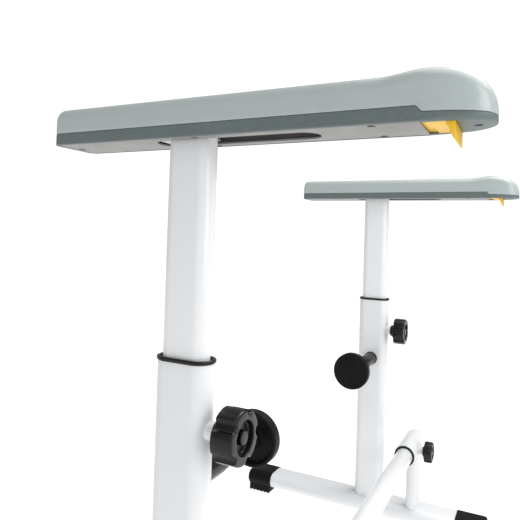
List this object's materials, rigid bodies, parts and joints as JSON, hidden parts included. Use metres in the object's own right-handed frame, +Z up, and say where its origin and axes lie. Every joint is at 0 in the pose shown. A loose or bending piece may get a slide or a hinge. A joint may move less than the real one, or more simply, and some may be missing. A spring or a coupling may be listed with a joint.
{
  "type": "toilet safety frame",
  "caption": "Free-standing toilet safety frame with oval telescoping posts, swing-up padded-profile armrests, clamp knobs, bowl pads and a low cross tube.",
  "frame": {"origin": "on the floor under the centre of the bounding box, which is midway between the two posts and in their plane", "axes": "+Z up, -Y towards the front of the frame where the armrests' noses point, +X towards the user's left arm"},
  "size_m": [0.738, 0.5418, 0.6995],
  "materials": {
    "white_paint": "gloss powder coat",
    "black_plastic": "gloss black moulding",
    "black_rubber": "matt black rubber",
    "zinc_steel": "zinc plated",
    "arm_shell": "satin pale grey moulding",
    "arm_lower": "satin dark grey moulding",
    "trigger": "semi gloss yellow moulding",
    "channel_paint": "beige grey paint",
    "nylon": "natural nylon"
  },
  "bodies": {
    "right_frame": {"right_base_rail": "white_paint", "right_front_foot": "black_rubber", "right_rear_foot": "black_rubber", "right_outer_post": "white_paint", "right_post_collar": "black_plastic", "right_riser": "white_paint", "right_cross_socket": "white_paint", "right_socket_bush": "black_plastic", "right_pad_sleeve": "black_plastic"},
    "right_height_clamp": {"right_height_knob": "black_plastic"},
    "right_width_clamp": {"right_width_knob": "black_plastic"},
    "right_lift": {"right_inner_post": "white_paint", "right_post_head": "zinc_steel", "right_striker_pin": "zinc_steel"},
    "right_arm": {"right_arm_shell": "arm_shell", "right_arm_lower": "arm_lower", "right_arm_channel": "channel_paint", "right_nose_screw": "zinc_steel", "right_pivot_pin": "zinc_steel", "right_pivot_bush_inboard": "nylon", "right_pivot_bush_outboard": "nylon", "right_arm_rest_bar": "zinc_steel", "right_rod_guide": "zinc_steel", "right_latch_spring": "zinc_steel"},
    "right_latch": {"right_latch_hook": "zinc_steel", "right_pull_rod": "zinc_steel", "right_release_trigger": "trigger"},
    "right_pad": {"right_bowl_pad": "black_rubber"},
    "right_pad_screw": {"right_pad_spindle": "zinc_steel"},
    "cross_bar": {"cross_tube": "white_paint"},
    "left_frame": {"left_base_rail": "white_paint", "left_front_foot": "black_rubber", "left_rear_foot": "black_rubber", "left_outer_post": "white_paint", "left_post_collar": "black_plastic", "left_riser": "white_paint", "left_cross_socket": "white_paint", "left_socket_bush": "black_plastic", "left_pad_sleeve": "black_plastic"},
    "left_height_clamp": {"left_height_knob": "black_plastic"},
    "left_width_clamp": {"left_width_knob": "black_plastic"},
    "left_lift": {"left_inner_post": "white_paint", "left_post_head": "zinc_steel", "left_striker_pin": "zinc_steel"},
    "left_arm": {"left_arm_shell": "arm_shell", "left_arm_lower": "arm_lower", "left_arm_channel": "channel_paint", "left_nose_screw": "zinc_steel", "left_pivot_pin": "zinc_steel", "left_pivot_bush_inboard": "nylon", "left_pivot_bush_outboard": "nylon", "left_arm_rest_bar": "zinc_steel", "left_rod_guide": "zinc_steel", "left_latch_spring": "zinc_steel"},
    "left_latch": {"left_latch_hook": "zinc_steel", "left_pull_rod": "zinc_steel", "left_release_trigger": "trigger"},
    "left_pad": {"left_bowl_pad": "black_rubber"},
    "left_pad_screw": {"left_pad_spindle": "zinc_steel"}
  },
  "joints": [
    {"name": "right_height_slide", "type": "slide", "parent": "right_frame", "child": "right_lift", "axis": [0, 0, 1], "range_m": [-0.05, 0.05]},
    {"name": "right_arm_swing", "type": "hinge", "parent": "right_lift", "child": "right_arm", "pos_m": [-0.3375, 0.033, 0.663], "axis": [-1, 0, 0], "range_deg": [0, 90]},
    {"name": "right_trigger_pull", "type": "slide", "parent": "right_arm", "child": "right_latch", "axis": [0, 1, 0], "range_m": [0, 0.007], "stiffness_N_per_m": 400, "springref_m": -0.012, "deforming": ["right_latch_spring"]},
    {"name": "right_height_knob_turn", "type": "hinge", "parent": "right_frame", "child": "right_height_clamp", "pos_m": [-0.3375, -0.0373, 0.3845], "axis": [0, -1, 0], "range_deg": [0, 540]},
    {"name": "right_width_knob_turn", "type": "hinge", "parent": "right_frame", "child": "right_width_clamp", "pos_m": [-0.2795, -0.1183, 0.173], "axis": [0, -1, 0], "range_deg": [0, 540]},
    {"name": "right_pad_advance", "type": "slide", "parent": "right_frame", "child": "right_pad", "axis": [1, 0, 0], "range_m": [-0.03, 0.015]},
    {"name": "right_pad_screw_turn", "type": "hinge", "parent": "right_pad", "child": "right_pad_screw", "pos_m": [-0.1913, 0, 0.326], "axis": [1, 0, 0], "range_deg": [-5400, 2700]},
    {"name": "right_width_slide", "type": "slide", "parent": "right_frame", "child": "cross_bar", "axis": [1, 0, 0], "range_m": [-0.03, 0.03]},
    {"name": "left_width_slide", "type": "slide", "parent": "cross_bar", "child": "left_frame", "axis": [1, 0, 0], "range_m": [-0.03, 0.03]},
    {"name": "left_height_slide", "type": "slide", "parent": "left_frame", "child": "left_lift", "axis": [0, 0, 1], "range_m": [-0.05, 0.05]},
    {"name": "left_arm_swing", "type": "hinge", "parent": "left_lift", "child": "left_arm", "pos_m": [0.3375, 0.033, 0.663], "axis": [-1, 0, 0], "range_deg": [0, 90]},
    {"name": "left_trigger_pull", "type": "slide", "parent": "left_arm", "child": "left_latch", "axis": [0, 1, 0], "range_m": [0, 0.007], "stiffness_N_per_m": 400, "springref_m": -0.012, "deforming": ["left_latch_spring"]},
    {"name": "left_height_knob_turn", "type": "hinge", "parent": "left_frame", "child": "left_height_clamp", "pos_m": [0.3375, -0.0373, 0.3845], "axis": [0, -1, 0], "range_deg": [0, 540]},
    {"name": "left_width_knob_turn", "type": "hinge", "parent": "left_frame", "child": "left_width_clamp", "pos_m": [0.2795, -0.1183, 0.173], "axis": [0, -1, 0], "range_deg": [0, 540]},
    {"name": "left_pad_advance", "type": "slide", "parent": "left_frame", "child": "left_pad", "axis": [-1, 0, 0], "range_m": [-0.03, 0.015]},
    {"name": "left_pad_screw_turn", "type": "hinge", "parent": "left_pad", "child": "left_pad_screw", "pos_m": [0.1913, 0, 0.326], "axis": [-1, 0, 0], "range_deg": [-5400, 2700]}
  ],
  "couplings": [
    {"joint": "right_pad_screw_turn", "follows": "right_pad_advance", "rad_per_m": 3141.6},
    {"joint": "left_pad_screw_turn", "follows": "left_pad_advance", "rad_per_m": 3141.6}
  ]
}
